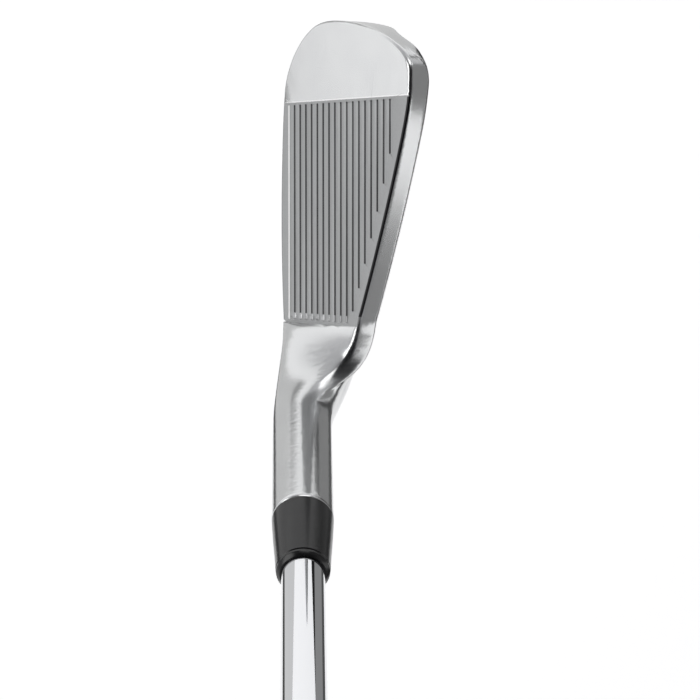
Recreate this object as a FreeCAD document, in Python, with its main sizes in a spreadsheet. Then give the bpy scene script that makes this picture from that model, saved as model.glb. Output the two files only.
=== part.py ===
import FreeCAD, Part

import math
import os

import Sketcher
from FreeCAD import Placement, Rotation, Vector

# An iron golf club, modelled in the address pose: the sole rests on the ground
# plane Z = 0, +X points to the golfer, -Y points at the target and +Z is up.
# The shaft axis lies in the plane Y = 0. The origin is on the ground, straight
# below the middle of the scoring area and in the plane of the shaft.

doc = FreeCAD.newDocument("IronClub")

# ---------------------------------------------------------------- sizes
# Every driving size, in millimetres or degrees. A height or a depth "along the
# shaft" is measured along the shaft axis from the ground.

SIZES = [
    # whole club
    ("club_length", 939.8),
    ("lie_angle", 62.0),
    ("loft_angle", 33.0),
    ("heel_reach", 32.15),
    # face: places on it are (toward the toe, up the face, behind the face)
    ("first_line_setback", 3.03),
    ("first_line_height", 5.72),
    ("toe_reach", 44.0),
    ("toe_peak", 31.1),
    ("toe_middle", 16.4),
    ("toe_top", 49.4),
    ("toe_top_power", 1.72),
    ("toe_turn", 27.4),
    ("toe_turn_power", 2.0),
    ("heel_edge", 26.6),
    ("heel_top", 28.9),
    ("topline_slope", 0.406),
    ("topline_crown", 0.7),
    ("leading_edge_drop", 2.96),
    ("leading_edge_curve", 0.0015),
    ("topline_thickness", 5.9),
    ("face_edge_radius", 1.1),
    ("face_milling", 0.06),
    ("face_milling_heel_end", 26.8),
    ("back_edge_radius", 1.26),
    # sole and back
    ("sole_depth", 16.6),
    ("sole_low_point", 8.8),
    ("sole_camber", 0.0226),
    ("sole_corner_drop", 0.18),
    ("sole_rocker_radius", 250.0),
    ("muscle_height", 14.0),
    ("muscle_depth", 9.5),
    ("toe_pad_depth", 9.3),
    ("toe_tip_depth", 9.6),
    ("toe_tip_rounding", 5.0),
    # neck and hosel
    ("hosel_radius", 6.7),
    ("hosel_start", 37.7),
    ("hosel_end", 73.9),
    ("hosel_chamfer", 0.35),
    ("neck_start", 26.0),
    ("neck_middle_height", 23.0),
    # scoring lines
    ("line_count", 18.0),
    ("full_line_count", 10.0),
    ("line_pitch", 2.45),
    ("line_width", 0.82),
    ("line_floor_width", 0.3),
    ("line_depth", 0.42),
    ("line_toe_end", 24.6),
    ("line_heel_end", 25.8),
    ("line_edge_margin", 3.6),
    ("paint_recess", 0.05),
    # back cavity with its badge
    ("face_thickness", 3.0),
    ("cavity_heel_end", 21.0),
    ("cavity_toe_end", 31.5),
    ("cavity_floor_height", 15.2),
    ("cavity_rim", 5.2),
    ("cavity_corner_radius", 3.5),
    ("badge_gap", 0.4),
    ("badge_thickness", 1.2),
    ("tape_thickness", 0.5),
    ("damper_height", 6.0),
    ("damper_length", 40.0),
    ("damper_depth", 3.2),
    # weights
    ("toe_weight_place", 36.4),
    ("toe_weight_height", 22.0),
    ("toe_weight_radius", 3.6),
    ("toe_weight_length", 5.0),
    ("toe_weight_recess", 0.3),
    ("toe_weight_drive_radius", 1.6),
    ("toe_weight_drive_depth", 2.0),
    ("tip_pin_head", 2.0),
    ("tip_pin_length", 16.0),
    # shaft
    ("tip_start", 43.7),
    ("tip_radius", 4.51),
    ("tip_taper", 0.0019),
    ("first_step", 230.0),
    ("step_count", 13.0),
    ("step_pitch", 34.0),
    ("step_slope_length", 2.5),
    ("butt_radius", 7.62),
    ("tip_wall", 0.86),
    ("butt_wall", 0.45),
    ("bond_gap", 0.14),
    ("bore_floor_gap", 0.5),
    ("band_start", 643.0),
    ("band_length", 26.0),
    ("band_thickness", 0.15),
    # ferrule
    ("ferrule_length", 19.0),
    ("ferrule_end_wall", 1.08),
    ("ferrule_chamfer", 0.75),
    ("ferrule_fit", 0.03),
    ("ferrule_ring_width", 0.4),
    ("ferrule_ring_depth", 0.18),
    ("ferrule_ring_place", 1.3),
    # grip
    ("grip_length", 267.0),
    ("grip_mouth_wall", 0.98),
    ("grip_butt_wall", 5.48),
    ("grip_lip_height", 5.0),
    ("grip_lip_wall", 1.58),
    ("grip_tape_thickness", 0.3),
    ("cap_overhang", 1.8),
    ("grip_flare_height", 9.0),
    ("cap_thickness", 4.0),
    ("cap_edge_radius", 2.4),
    ("vent_radius", 1.75),
]

sheet = doc.addObject("Spreadsheet::Sheet", "Sizes")
for row, (name, value) in enumerate(SIZES, start=1):
    sheet.set("A%d" % row, name)
    sheet.set("B%d" % row, str(value))
    sheet.setAlias("B%d" % row, name)
doc.recompute()


def size(name):
    """One driving size, as a plain number."""
    return float(sheet.get(name))


def tie(thing, **expressions):
    """Bind properties of a document object to expressions of the sizes.

    A word in braces stands for the size of that name.
    """
    for name, expression in expressions.items():
        text = expression.replace("{", "Sizes.").replace("}", "")
        thing.setExpression(name, text)


# ---------------------------------------------------------------- frames

SIN_LOFT = math.sin(math.radians(size("loft_angle")))
COS_LOFT = math.cos(math.radians(size("loft_angle")))
SIN_LIE = math.sin(math.radians(size("lie_angle")))
COS_LIE = math.cos(math.radians(size("lie_angle")))

# local x runs to the toe, y up the face and z behind the face
FACE_FRAME = Placement(
    Vector(0, -size("first_line_setback"), size("first_line_height")),
    Rotation(Vector(-1, 0, 0), Vector(0, SIN_LOFT, COS_LOFT), Vector(0, COS_LOFT, -SIN_LOFT), "ZXY"),
)

# local z runs up the shaft, from the point where its axis meets the ground
SHAFT_FRAME = Placement(
    Vector(size("heel_reach"), 0, 0),
    Rotation(Vector(0, 1, 0), 90 - size("lie_angle")),
)


def on_face(toward_toe, up, behind=0.0):
    """The point of the club at a place given in the face frame."""
    return FACE_FRAME.multVec(Vector(toward_toe, up, behind))


# ---------------------------------------------------------------- small maths


def ease(x):
    """Rises smoothly from 0 to 1 while x goes from 0 to 1."""
    x = min(max(x, 0.0), 1.0)
    return x * x * (3 - 2 * x)


def mix(a, b, share):
    return a + (b - a) * share


def soft_min(a, b, width):
    return 0.5 * (a + b - math.hypot(a - b, width))


def soft_max(a, b, width):
    return 0.5 * (a + b + math.hypot(a - b, width))


def slant(curve, place):
    """How much longer a step along a curve of the outline is than its run to the toe."""
    step = 0.005
    ahead = min(place + step, size("toe_reach"))
    rise = curve(ahead) - curve(place - step)
    return math.hypot(1, rise / (ahead - place + step))


# ---------------------------------------------------------------- head outline


def topline(place):
    """Height of the top edge of the blade on the face, at a place toward the toe."""
    bow = 1 - ((place + 3.3) / 23.3) ** 2
    straight = size("heel_top") + size("topline_slope") * (place + size("heel_edge"))
    straight += size("topline_crown") * max(bow, -3)
    cap = size("toe_top")
    if place > size("toe_peak"):
        x = (place - size("toe_peak")) / (size("toe_reach") - size("toe_peak"))
        power = size("toe_top_power")
        rise = (1 - min(x, 1) ** power) ** (1 / power)
        cap = size("toe_middle") + (size("toe_top") - size("toe_middle")) * rise
    return soft_min(straight, cap, 1.2)


def leading_edge(place):
    """Height of the foremost line of the leading edge and the toe, on the face."""
    edge = size("leading_edge_curve") * (place + 3) ** 2 - size("leading_edge_drop")
    if place > size("toe_turn"):
        x = (place - size("toe_turn")) / (size("toe_reach") - size("toe_turn"))
        power = size("toe_turn_power")
        rise = 1 - (1 - min(x, 1) ** power) ** (1 / power)
        edge += (size("toe_middle") - edge) * rise
    return edge


def sole(place, behind):
    """Height of the sole in the face frame: curved front to back and heel to toe.

    It gives the corners of a section, which stand a little below the curved
    sole that they guide, so that the sole itself rests on the ground.
    """
    camber = size("sole_camber") * (behind - size("sole_low_point")) ** 2
    rocker = place**2 / (2 * size("sole_rocker_radius"))
    ground = camber + rocker - size("sole_corner_drop") - size("first_line_height")
    return (ground + behind * SIN_LOFT) / COS_LOFT


def rounding(radius, depth):
    """How far an edge of that radius has drawn back, at a depth below its side."""
    if depth >= radius:
        return 0.0
    return radius - math.sqrt(radius**2 - (radius - depth) ** 2)


# ---------------------------------------------------------------- head sections


def section_corners(place):
    """The eight corners of the head's section at a place toward the toe.

    Each is (up the face, behind the face, rounding before it, rounding after
    it), in the order leading edge, topline front and back, rim, muscle,
    trailing edge and two places on the sole.
    """
    depth = size("toe_reach") - place
    toe = ease((place - 15) / 25)
    turn = max(0.0, (place - size("toe_turn")) / (size("toe_reach") - size("toe_turn")))
    below = mix(2.1, 0.81, toe) * math.sqrt(max(0.0, 1 - turn**2.5))
    low = leading_edge(place) - below
    high = topline(place)
    chord = high - low

    front = size("face_edge_radius")
    back = mix(size("back_edge_radius"), size("toe_tip_rounding"), ease((place - 30) / 10))
    face = rounding(front, depth) - size("face_milling")
    drawn = rounding(back, depth)

    tip = size("toe_tip_depth")
    trailing = mix(size("sole_depth"), size("toe_pad_depth"), ease((place - 8) / 33))
    trailing = mix(trailing, tip, ease((place - 38.5) / 4)) - drawn
    muscle = mix(size("muscle_depth"), size("toe_pad_depth"), ease((place - 20) / 16))
    muscle = mix(muscle, tip, ease((place - 40.5) / 2.5)) - drawn
    rim = mix(size("topline_thickness"), tip, ease((place - 39.5) / 3)) - drawn

    pad = ease((place - 18) / 18)
    rim_foot = mix(size("muscle_height") + 2.6, high - min(0.6 + 0.05 * chord, 0.3 * chord), pad)
    muscle_top = mix(size("muscle_height"), high - min(2.4 + 0.09 * chord, 0.6 * chord), pad)

    sole_front = mix(face, trailing, 0.33)
    sole_rear = mix(face, trailing, 0.7)
    blend = 0.5 * min(1.0, chord / 10)

    along_top = slant(topline, place)
    along_low = slant(leading_edge, place)
    half = 0.3 * chord
    back_edge = max(back - drawn, 0.05)
    return [
        (low, face, mix(2.6, 1.2, toe), min(mix(2.77, 1.2, toe) * along_low, half)),
        (high, face, min(front * along_top, half), front - face),
        (high, rim, back_edge, min(back * along_top, half)),
        (rim_foot, rim, 1.2, 1.2),
        (muscle_top, muscle, 2.0, 3.0),
        (soft_max(low, sole(place, trailing), blend), trailing, mix(4.0, 2.5, toe), mix(4.5, 2.0, toe)),
        (soft_max(low, sole(place, sole_rear), blend), sole_rear, 3.0, 3.0),
        (soft_max(low, sole(place, sole_front), blend), sole_front, 2.5, 2.5),
    ]


ARC_POINTS = 6
EDGE_POINTS = 5


def section_points(place):
    """A closed ring of points round the head's section: rounded corners, graded sides."""
    corners = section_corners(place)
    count = len(corners)
    spot = [Vector(c[0], c[1], 0) for c in corners]
    before = [c[2] for c in corners]
    after = [c[3] for c in corners]
    side = [(spot[(i + 1) % count] - spot[i]) for i in range(count)]
    for i in range(count):
        j = (i + 1) % count
        wanted = after[i] + before[j]
        room = 0.7 * side[i].Length
        if wanted > room:
            after[i] *= room / wanted
            before[j] *= room / wanted
        side[i].normalize()
    ring = []
    for i in range(count):
        j = (i + 1) % count
        for k in range(ARC_POINTS):
            turn = math.pi / 2 * k / (ARC_POINTS - 1)
            back = side[i - 1] * (-(1 - math.sin(turn)) * before[i])
            ahead = side[i] * ((1 - math.cos(turn)) * after[i])
            ring.append(spot[i] + back + ahead)
        start = spot[i] + side[i] * after[i]
        end = spot[j] - side[i] * before[j]
        for k in range(1, EDGE_POINTS + 1):
            share = 0.5 - 0.5 * math.cos(math.pi * k / (EDGE_POINTS + 1))
            ring.append(start + (end - start) * share)
    return [on_face(place, p.x, p.y) for p in ring]


def shaft_point(along):
    return SHAFT_FRAME.multVec(Vector(0, 0, along))


def hosel_angles():
    """Where each point of the blade's ring goes round the hosel, from the front upward."""
    ring = section_points(-size("neck_start"))
    count = len(ring)
    steps = [ring[i].distanceToPoint(ring[(i + 1) % count]) for i in range(count)]
    run = [sum(steps[:i]) for i in range(count)]
    middle_of_face = 0.5 * (run[ARC_POINTS - 1] + run[ARC_POINTS + EDGE_POINTS])
    twist = math.radians(25)
    return [2 * math.pi * (r - middle_of_face) / sum(steps) + twist for r in run]


def neck_rings(angles):
    """Rings that turn from the blade's heel section to the round hosel.

    Their centres follow a curve from the blade up into the shaft axis. The front
    and the heel side become round first, and the topline side last.
    """
    radius = size("hosel_radius")
    middle = size("neck_middle_height")
    start = Vector(size("neck_start"), 0, middle)
    end = shaft_point(size("hosel_start"))
    curve = Part.BezierCurve()
    curve.setPoles([start, start + Vector(6, 0, 0), shaft_point(size("hosel_start") - 15), end])
    rings = []
    count = 12
    for k in range(1, count + 1):
        share = k / count
        centre = curve.value(share)
        ahead = curve.tangent(share)[0]
        upward = Vector(-ahead.z, 0, ahead.x)
        gone = curve.length(0, share)
        blade = section_points(-size("neck_start") - 0.735 * gone)
        ring = []
        for point, angle in zip(blade, angles):
            late = 0.42 + 1.64 * (1 + math.cos(angle - math.radians(153.4))) / 2
            sideways = mix(point.y, -radius * math.cos(angle), ease(share**late))
            rise = mix(point.z - middle, radius * math.sin(angle), ease(share**0.6))
            ring.append(centre + upward * rise + Vector(0, sideways, 0))
        rings.append(ring)
    return rings


def hosel_ring(angles, along):
    radius = size("hosel_radius")
    return [
        SHAFT_FRAME.multVec(Vector(-radius * math.sin(a), -radius * math.cos(a), along))
        for a in angles
    ]


def head_rings():
    """All the rings of the head, from the tip of the toe to the end of the hosel."""
    reach = size("toe_reach")
    blade = [0.06, 0.14, 0.28, 0.5, 0.9, 1.5, 2.3, 3.3, 4.6, 6.2, 8.2, 10.8, 14, 18, 24, 32, 42, 52, 60]
    places = [reach - depth for depth in blade]
    places += [-0.8 * size("neck_start"), -0.92 * size("neck_start"), -size("neck_start")]
    rings = [section_points(place) for place in places]
    angles = hosel_angles()
    rings += neck_rings(angles)
    start, end = size("hosel_start"), size("hosel_end")
    for share in (0.05, 0.13, 0.3, 0.5, 0.75, 1.0):
        rings.append(hosel_ring(angles, mix(start, end, share)))
    return rings


# the surface parameter that runs round the head is about as long as a section is round
GIRTH = 100.0


def skin(rings):
    """A smooth solid through closed rings of points, with a flat cap at each end.

    Every ring becomes a closed cubic curve on one common set of knots, and then
    the poles of the curves are joined from ring to ring in the same way.
    """
    count = len(rings[0])
    lengths = [0.0] * count
    travel = [0.0]
    for i, ring in enumerate(rings):
        for k in range(count):
            lengths[k] += math.sqrt(ring[k].distanceToPoint(ring[(k + 1) % count]))
        if i:
            moved = [a.distanceToPoint(b) for a, b in zip(ring, rings[i - 1])]
            travel.append(travel[-1] + sum(moved) / count)
    around = [GIRTH * sum(lengths[:k]) / sum(lengths) for k in range(count + 1)]
    curves = []
    for ring in rings:
        curve = Part.BSplineCurve()
        curve.interpolate(Points=ring, Parameters=around, PeriodicFlag=True)
        curves.append(curve)
    strands = []
    for k in range(len(curves[0].getPoles())):
        strand = Part.BSplineCurve()
        poles = [c.getPole(k + 1) for c in curves]
        strand.interpolate(
            Points=poles,
            Parameters=travel,
            InitialTangent=(poles[1] - poles[0]) / (travel[1] - travel[0]),
            FinalTangent=(poles[-1] - poles[-2]) / (travel[-1] - travel[-2]),
            Scale=False,
        )
        strands.append(strand)
    surface = Part.BSplineSurface()
    surface.buildFromPolesMultsKnots(
        [strand.getPoles() for strand in strands],
        curves[0].getMultiplicities(),
        strands[0].getMultiplicities(),
        curves[0].getKnots(),
        strands[0].getKnots(),
        True,
        False,
        3,
        3,
    )
    side = surface.toShape()
    ends = [Part.Face(Part.Wire(surface.vIso(v).toShape())) for v in (travel[0], travel[-1])]
    sewn = Part.makeShell([side] + ends)
    sewn.sewShape(1e-5)
    solid = Part.Solid(sewn)
    solid.fix(1e-4, 1e-4, 1e-4)
    return solid


# ---------------------------------------------------------------- head blank

blank = doc.addObject("Part::Feature", "HeadBlank")
blank.Shape = skin(head_rings())

# ---------------------------------------------------------------- tools of the head


def cylinder(name, frame, x, y, z, radius, height):
    """A cylinder whose foot is at a place of a frame, along the frame's z."""
    thing = doc.addObject("Part::Cylinder", name)
    tie(thing, Radius=radius, Height=height)
    thing.Placement = frame.multiply(Placement(Vector(x, y, z), Rotation()))
    return thing


def union(name, things):
    thing = doc.addObject("Part::MultiFuse", name)
    thing.Shapes = things
    return thing


def cut(name, base, tool):
    thing = doc.addObject("Part::Cut", name)
    thing.Base = base
    thing.Tool = tool
    return thing


def turned(name, outline):
    """A body turned about its z axis from corners given as (radius, height) expressions."""
    body = doc.addObject("PartDesign::Body", name)
    sketch = body.newObject("Sketcher::SketchObject", name + "_profile")
    planes = {origin.Role: origin for origin in body.Origin.OriginFeatures}
    sketch.AttachmentSupport = (planes["XZ_Plane"], [""])
    sketch.MapMode = "FlatFace"
    count = len(outline)
    for i in range(count):
        j = (i + 1) % count
        sketch.addGeometry(Part.LineSegment(Vector(1 + i, i * i, 0), Vector(1 + j, j * j, 0)), False)
    for i in range(count):
        sketch.addConstraint(Sketcher.Constraint("Coincident", i, 2, (i + 1) % count, 1))
    for i, (radius, height) in enumerate(outline):
        if radius == "0":
            sketch.addConstraint(Sketcher.Constraint("PointOnObject", i, 1, -2))
        else:
            here = sketch.addConstraint(Sketcher.Constraint("DistanceX", -1, 1, i, 1, 1.0 + i))
            sketch.renameConstraint(here, "radius_%d" % i)
            tie(sketch, **{"Constraints.radius_%d" % i: radius})
        here = sketch.addConstraint(Sketcher.Constraint("DistanceY", -1, 1, i, 1, 1.0 + i * i))
        sketch.renameConstraint(here, "height_%d" % i)
        tie(sketch, **{"Constraints.height_%d" % i: height})
    spin = body.newObject("PartDesign::Revolution", name + "_turned")
    spin.Profile = sketch
    spin.ReferenceAxis = (sketch, ["V_Axis"])
    spin.Angle = 360
    body.Placement = SHAFT_FRAME
    return body


def scoring_line(name, index, top):
    """The solid that fills one scoring line, from a depth below the face to its floor.

    It is a trapezium bar with a half cone at each end, as a milling cutter leaves it.
    """
    up = index * size("line_pitch")
    toe_end = size("line_toe_end")
    limit = topline_inset(up, size("line_edge_margin"))
    heel_end = max(-size("line_heel_end"), limit)
    if index < size("full_line_count"):
        heel_end = -size("line_heel_end")
    slope = 0.5 * (size("line_width") - size("line_floor_width")) / size("line_depth")
    half = 0.5 * size("line_width") - slope * top
    floor = 0.5 * size("line_floor_width")
    depth = size("line_depth") - top
    length = toe_end - heel_end
    bar = doc.addObject("Part::Wedge", name + "_bar")
    bar.Xmin, bar.Xmax, bar.X2min, bar.X2max = 0, length, 0, length
    bar.Ymin, bar.Ymax = 0, depth
    bar.Zmin, bar.Zmax, bar.Z2min, bar.Z2max = -half, half, -floor, floor
    bar.Placement = FACE_FRAME.multiply(
        Placement(Vector(heel_end, up, top), Rotation(Vector(1, 0, 0), 90))
    )
    ends = []
    for number, place in enumerate((heel_end, toe_end)):
        end = doc.addObject("Part::Cone", name + "_end%d" % number)
        end.Radius1, end.Radius2, end.Height = half, floor, depth
        end.Placement = FACE_FRAME.multiply(Placement(Vector(place, up, top), Rotation()))
        ends.append(end)
    return union(name, [bar] + ends)


def topline_inset(up, margin):
    """The place toward the toe where the topline is a margin above a height on the face."""
    low, high = -size("heel_edge") - 10, size("toe_peak") - 5
    for _ in range(40):
        middle = 0.5 * (low + high)
        if topline(middle) - margin < up:
            low = middle
        else:
            high = middle
    return high


lines = []
for i in range(int(size("line_count"))):
    lines.append(scoring_line("Line%02d" % i, i, -0.1))

# the outside of the shaft's tapered tip, and the bore that it is bonded in
TIP_OUTSIDE = "{tip_radius} + {tip_taper} * (%s - {tip_start})"
TIP_BORE = "{tip_radius} - {tip_wall}"
BORE_RADIUS = TIP_OUTSIDE % "{hosel_end}" + " + {bond_gap}"

# hosel: the bore for the shaft, and the small chamfer round its mouth
bore = cylinder(
    "HoselBore",
    SHAFT_FRAME,
    0,
    0,
    size("tip_start") - size("tip_pin_head") - size("bore_floor_gap"),
    BORE_RADIUS,
    "{hosel_end} - {tip_start} + {tip_pin_head} + {bore_floor_gap} + 1",
)
mouth = turned(
    "HoselMouth",
    [
        ("{hosel_radius} - {hosel_chamfer}", "{hosel_end} + 0.001"),
        ("{hosel_radius} + 1", "{hosel_end} - {hosel_chamfer} - 1"),
        ("{hosel_radius} + 1", "{hosel_end} + 1"),
        ("{hosel_radius} - {hosel_chamfer}", "{hosel_end} + 1"),
    ],
)

# back cavity: a pocket behind the face, with an edge that follows the topline


def cavity_outline(inset):
    """Corners of the cavity on the face, drawn in by an inset, counter-clockwise."""
    heel = -size("cavity_heel_end") + inset
    toe = size("cavity_toe_end") - inset
    floor = size("cavity_floor_height") + inset
    rim = size("cavity_rim") + inset
    knee = size("toe_peak") - size("cavity_rim") - 1
    return [
        (heel, floor),
        (toe, floor),
        (toe, topline(size("cavity_toe_end")) - rim - 1.5),
        (min(knee, toe - 1), topline(knee) - rim),
        (heel, topline(-size("cavity_heel_end")) - rim),
    ]


def face_plate(name, inset, behind, thickness, radius):
    """A flat plate with the cavity's outline, standing behind the face."""
    plate = doc.addObject("Part::Feature", name)
    corners = [on_face(u, v, behind) for u, v in cavity_outline(inset)]
    outline = Part.makePolygon(corners + corners[:1])
    along = FACE_FRAME.Rotation.multVec(Vector(0, 0, 1))
    solid = Part.Face(outline).extrude(along * thickness)
    upright = [e for e in solid.Edges if abs(e.tangentAt(e.FirstParameter).dot(along)) > 0.99]
    plate.Shape = solid.makeFillet(radius, upright)
    return plate


cavity = face_plate("CavityTool", 0.0, size("face_thickness"), 40.0, size("cavity_corner_radius"))

# the damper sits in a slot milled down into the muscle below the cavity's floor
floor = size("face_thickness")
damper_low = size("cavity_floor_height") - size("damper_height")
slot = doc.addObject("Part::Box", "DamperSlot")
tie(slot, Length="{damper_length}", Width="{damper_height} + 1", Height="{damper_depth}")
slot.Placement = FACE_FRAME.multiply(
    Placement(Vector(-size("damper_length") / 2 + 4, damper_low, floor), Rotation())
)

weight_hole = cylinder(
    "ToeWeightHole",
    FACE_FRAME,
    size("toe_weight_place"),
    size("toe_weight_height"),
    size("toe_pad_depth") - size("toe_weight_length") - size("toe_weight_recess"),
    "{toe_weight_radius}",
    "{toe_weight_length} + 4",
)

# the face is milled flat from the toe to the end of the scoring area
mill = doc.addObject("Part::Box", "FaceMill")
tie(
    mill,
    Length="{toe_reach} + {face_milling_heel_end} + 5",
    Width="{toe_top} + 40",
    Height="5",
)
mill.Placement = FACE_FRAME.multiply(Placement(Vector(-size("face_milling_heel_end"), -20, -5), Rotation()))
milled = cut("HeadMilled", blank, mill)

tools = union("HeadTools", lines + [bore, mouth, cavity, slot, weight_hole])
head = cut("Head", milled, tools)
head.Label = "head"


# ---------------------------------------------------------------- pieces on the head

paint = scoring_line("PaintFill", 0, size("paint_recess"))
paint.Label = "line_paint"

tape = face_plate(
    "BadgeTape",
    size("badge_gap"),
    size("face_thickness"),
    size("tape_thickness"),
    size("cavity_corner_radius") - size("badge_gap"),
)
tape.Label = "badge_tape"
badge = face_plate(
    "Badge",
    size("badge_gap"),
    size("face_thickness") + size("tape_thickness"),
    size("badge_thickness"),
    size("cavity_corner_radius") - size("badge_gap"),
)
badge.Label = "cavity_badge"

damper = doc.addObject("Part::Box", "Damper")
tie(damper, Length="{damper_length}", Width="{damper_height}", Height="{damper_depth}")
damper.Placement = slot.Placement
damper.Label = "damper"

weight_foot = size("toe_pad_depth") - size("toe_weight_length") - size("toe_weight_recess")
weight_place = (FACE_FRAME, size("toe_weight_place"), size("toe_weight_height"))
weight_blank = cylinder(
    "ToeWeightBlank", *weight_place, weight_foot, "{toe_weight_radius}", "{toe_weight_length}"
)
drive = doc.addObject("Part::Prism", "ToeWeightDrive")
drive.Polygon = 6
tie(drive, Circumradius="{toe_weight_drive_radius}", Height="{toe_weight_drive_depth} + 1")
drive_foot = weight_foot + size("toe_weight_length") - size("toe_weight_drive_depth")
drive.Placement = FACE_FRAME.multiply(
    Placement(Vector(size("toe_weight_place"), size("toe_weight_height"), drive_foot), Rotation())
)
weight = cut("ToeWeight", weight_blank, drive)
weight.Label = "toe_weight"

# ---------------------------------------------------------------- ferrule and shaft tip

FERRULE_END = "(" + TIP_OUTSIDE % "({hosel_end} + {ferrule_length})" + " + {ferrule_end_wall})"
ferrule = turned(
    "Ferrule",
    [
        (TIP_OUTSIDE % "{hosel_end}" + " + {ferrule_fit}", "{hosel_end}"),
        ("{hosel_radius}", "{hosel_end}"),
        (
            "{hosel_radius} + (%s - {hosel_radius}) * (1 - {ferrule_ring_place} / {ferrule_length})"
            % FERRULE_END,
            "{hosel_end} + {ferrule_length} - {ferrule_ring_place} - {ferrule_ring_width}",
        ),
        (
            FERRULE_END + " - {ferrule_ring_depth}",
            "{hosel_end} + {ferrule_length} - {ferrule_ring_place} - {ferrule_ring_width} / 2",
        ),
        (FERRULE_END, "{hosel_end} + {ferrule_length} - {ferrule_ring_place}"),
        (FERRULE_END, "{hosel_end} + {ferrule_length} - {ferrule_chamfer}"),
        (FERRULE_END + " - {ferrule_chamfer}", "{hosel_end} + {ferrule_length}"),
        (
            TIP_OUTSIDE % "({hosel_end} + {ferrule_length})" + " + {ferrule_fit}",
            "{hosel_end} + {ferrule_length}",
        ),
    ],
)
ferrule.Label = "ferrule"

bond = turned(
    "HoselBond",
    [
        ("{tip_radius}", "{tip_start}"),
        (BORE_RADIUS, "{tip_start}"),
        (BORE_RADIUS, "{hosel_end} - 0.5"),
        (TIP_OUTSIDE % "({hosel_end} - 0.5)", "{hosel_end} - 0.5"),
    ],
)
bond.Label = "hosel_bond"

pin = turned(
    "TipPin",
    [
        ("0", "{tip_start} - {tip_pin_head}"),
        ("{tip_radius}", "{tip_start} - {tip_pin_head}"),
        ("{tip_radius}", "{tip_start}"),
        (TIP_BORE, "{tip_start}"),
        (TIP_BORE, "{tip_start} + {tip_pin_length}"),
        ("0", "{tip_start} + {tip_pin_length}"),
    ],
)
pin.Label = "tip_pin"

# ---------------------------------------------------------------- shaft

# a steel tube: a tapered tip, then equal steps up to the butt, which is straight
step_rise = "(({butt_radius} - (" + TIP_OUTSIDE % "{first_step}" + ")) / {step_count})"
shaft_outline = [
    ("{tip_radius}", "{tip_start}"),
    (TIP_OUTSIDE % "{first_step}", "{first_step}"),
]
for i in range(int(size("step_count"))):
    above = TIP_OUTSIDE % "{first_step}" + " + %d * " % (i + 1) + step_rise
    start = "{first_step} + %d * {step_pitch}" % i
    shaft_outline.append((above, start + " + {step_slope_length}"))
    if i + 1 < int(size("step_count")):
        shaft_outline.append((above, start + " + {step_pitch}"))
shaft_outline += [
    ("{butt_radius}", "{club_length} - {cap_thickness}"),
    ("{butt_radius} - {butt_wall}", "{club_length} - {cap_thickness}"),
    ("{butt_radius} - {butt_wall}", "{first_step} + {step_count} * {step_pitch}"),
    (TIP_BORE, "{first_step}"),
    (TIP_BORE, "{tip_start}"),
]
shaft = turned("Shaft", shaft_outline)
shaft.Label = "shaft"

band = turned(
    "ShaftBand",
    [
        ("{butt_radius}", "{band_start}"),
        ("{butt_radius} + {band_thickness}", "{band_start}"),
        ("{butt_radius} + {band_thickness}", "{band_start} + {band_length}"),
        ("{butt_radius}", "{band_start} + {band_length}"),
    ],
)
band.Label = "shaft_band"

# ---------------------------------------------------------------- grip

CAP_FOOT = "({club_length} - {cap_thickness})"
GRIP_BORE = "{butt_radius} + {grip_tape_thickness}"
GRIP_MOUTH = "{club_length} - {grip_length}"
CAP_RADIUS = "(" + GRIP_BORE + " + {grip_butt_wall} + {cap_overhang})"

grip_tape = turned(
    "GripTape",
    [
        ("{butt_radius}", GRIP_MOUTH + " + 3"),
        (GRIP_BORE, GRIP_MOUTH + " + 3"),
        (GRIP_BORE, CAP_FOOT),
        ("{butt_radius}", CAP_FOOT),
    ],
)
grip_tape.Label = "grip_tape"

grip = turned(
    "Grip",
    [
        (GRIP_BORE, GRIP_MOUTH),
        (GRIP_BORE + " + {grip_mouth_wall}", GRIP_MOUTH),
        (GRIP_BORE + " + {grip_lip_wall}", GRIP_MOUTH + " + 1"),
        (GRIP_BORE + " + {grip_lip_wall}", GRIP_MOUTH + " + {grip_lip_height}"),
        (GRIP_BORE + " + {grip_mouth_wall} + 0.3", GRIP_MOUTH + " + {grip_lip_height} + 1.5"),
        (GRIP_BORE + " + {grip_butt_wall}", CAP_FOOT + " - {grip_flare_height}"),
        (CAP_RADIUS + " - 0.4", CAP_FOOT + " - 1"),
        (CAP_RADIUS + " - 0.4", CAP_FOOT),
        (GRIP_BORE, CAP_FOOT),
    ],
)
grip.Label = "grip"

cap = turned(
    "GripCap",
    [
        ("{vent_radius}", CAP_FOOT),
        (CAP_RADIUS, CAP_FOOT),
        (CAP_RADIUS, "{club_length} - {cap_edge_radius}"),
        (CAP_RADIUS + " - 0.3 * {cap_edge_radius}", "{club_length} - 0.3 * {cap_edge_radius}"),
        (CAP_RADIUS + " - {cap_edge_radius}", "{club_length}"),
        ("{vent_radius}", "{club_length}"),
    ],
)
cap.Label = "grip_cap"

# ---------------------------------------------------------------- write the parts

PARTS = [
    head,
    paint,
    badge,
    tape,
    damper,
    weight,
    ferrule,
    bond,
    pin,
    shaft,
    band,
    grip_tape,
    grip,
    cap,
]

doc.recompute()
for thing in doc.Objects:
    if "Invalid" in thing.State or "Error" in thing.State:
        raise RuntimeError("%s did not recompute: %s" % (thing.Name, thing.State))

os.makedirs("parts", exist_ok=True)
for part in PARTS:
    shape = part.Shape
    if shape.isNull() or not shape.isValid() or len(shape.Solids) != 1:
        raise RuntimeError("%s is not one valid solid" % part.Label)
    shape.exportStep(os.path.join("parts", part.Label + ".step"))
    print(part.Label, round(shape.Volume, 1), shape.BoundBox)
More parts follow.
